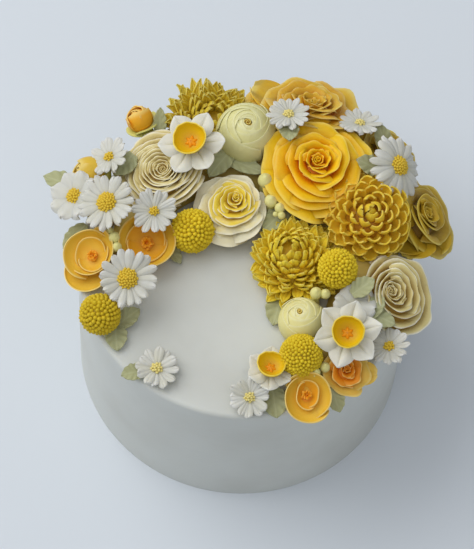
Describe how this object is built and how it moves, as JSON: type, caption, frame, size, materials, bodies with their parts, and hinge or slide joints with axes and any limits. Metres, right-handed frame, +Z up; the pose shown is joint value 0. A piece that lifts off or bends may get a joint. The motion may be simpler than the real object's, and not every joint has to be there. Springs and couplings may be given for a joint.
{
  "type": "flower cake",
  "caption": "Round tall buttercream cake with smooth ivory sides and a crescent wreath of piped yellow, orange and white flowers, berries and leaves on top.",
  "frame": {"origin": "middle of the cake's flat underside", "axes": "+Z up; -Y towards the bare front of the cake's top, where the wreath is open; +X to the right seen from there"},
  "size_m": [0.1873, 0.1732, 0.1223],
  "materials": {
    "ivory_cream": "smooth matte buttercream with faint palette-knife marks",
    "white_petals": "white piped buttercream petals, soft matte, with golden beaded discs",
    "cream_petals": "ivory piped petals with tan-yellow gaps",
    "pale_green_petals": "pale green-yellow piped petals, smooth",
    "pale_yellow_petals": "pale yellow piped petals, lighter at their edges",
    "golden_petals": "golden piped petals with orange depths and pale edges",
    "orange_petals": "orange-yellow piped petals with pale edges",
    "mustard_petals": "mustard-yellow piped petals and beads",
    "olive_petals": "dark mustard piped petals with yellow rims",
    "berries": "pale green piped beads with a satin skin",
    "leaves": "sage green ruffled piped leaves, matte"
  },
  "bodies": {
    "root": {"cake": "ivory_cream", "daffodil_left": "white_petals", "daisy_left_large": "white_petals", "daisy_left_inner": "white_petals", "daisy_left_front": "white_petals", "daisy_back": "white_petals", "daisy_right_large": "white_petals", "daisy_right_back": "white_petals", "dahlia": "mustard_petals", "rose_large": "golden_petals", "craspedia_right": "mustard_petals", "daffodil_right": "white_petals", "craspedia_front": "mustard_petals", "daffodil_front": "white_petals", "daisy_front_right": "white_petals", "cup_front": "orange_petals", "craspedia_left_inner": "mustard_petals", "craspedia_left_front": "mustard_petals", "ranunculus_green": "pale_green_petals", "rose_pale": "pale_yellow_petals", "mum_front": "mustard_petals", "cup_left_inner": "orange_petals", "cup_left_outer": "orange_petals", "blossom_left": "white_petals", "daisy_left_back": "white_petals", "bud_yellow": "pale_yellow_petals", "bud_orange": "orange_petals", "ranunculus_left": "cream_petals", "mum_back": "mustard_petals", "rose_back": "golden_petals", "rose_olive": "olive_petals", "rose_mustard": "olive_petals", "ranunculus_right": "cream_petals", "ranunculus_bud": "pale_green_petals", "blossom_right": "white_petals", "rose_orange": "orange_petals", "daisy_right_front": "white_petals", "daisy_alone": "white_petals", "berries_left": "berries", "berry_middle": "berries", "berries_middle": "berries", "berries_right": "berries", "berries_front": "berries", "leaf_left_outer": "leaves", "leaf_left_low": "leaves", "leaf_left_back": "leaves", "leaf_back_left": "leaves", "leaf_left_inner": "leaves", "leaf_front_left": "leaves", "leaf_alone": "leaves", "leaf_middle": "leaves", "leaf_back_middle": "leaves", "leaf_centre": "leaves", "leaf_right_back": "leaves", "leaf_back_right": "leaves", "leaf_right_upper": "leaves", "leaf_right_inner": "leaves", "leaf_bud_side": "leaves", "leaf_front_middle": "leaves", "leaf_front_right": "leaves"}
  },
  "joints": []
}
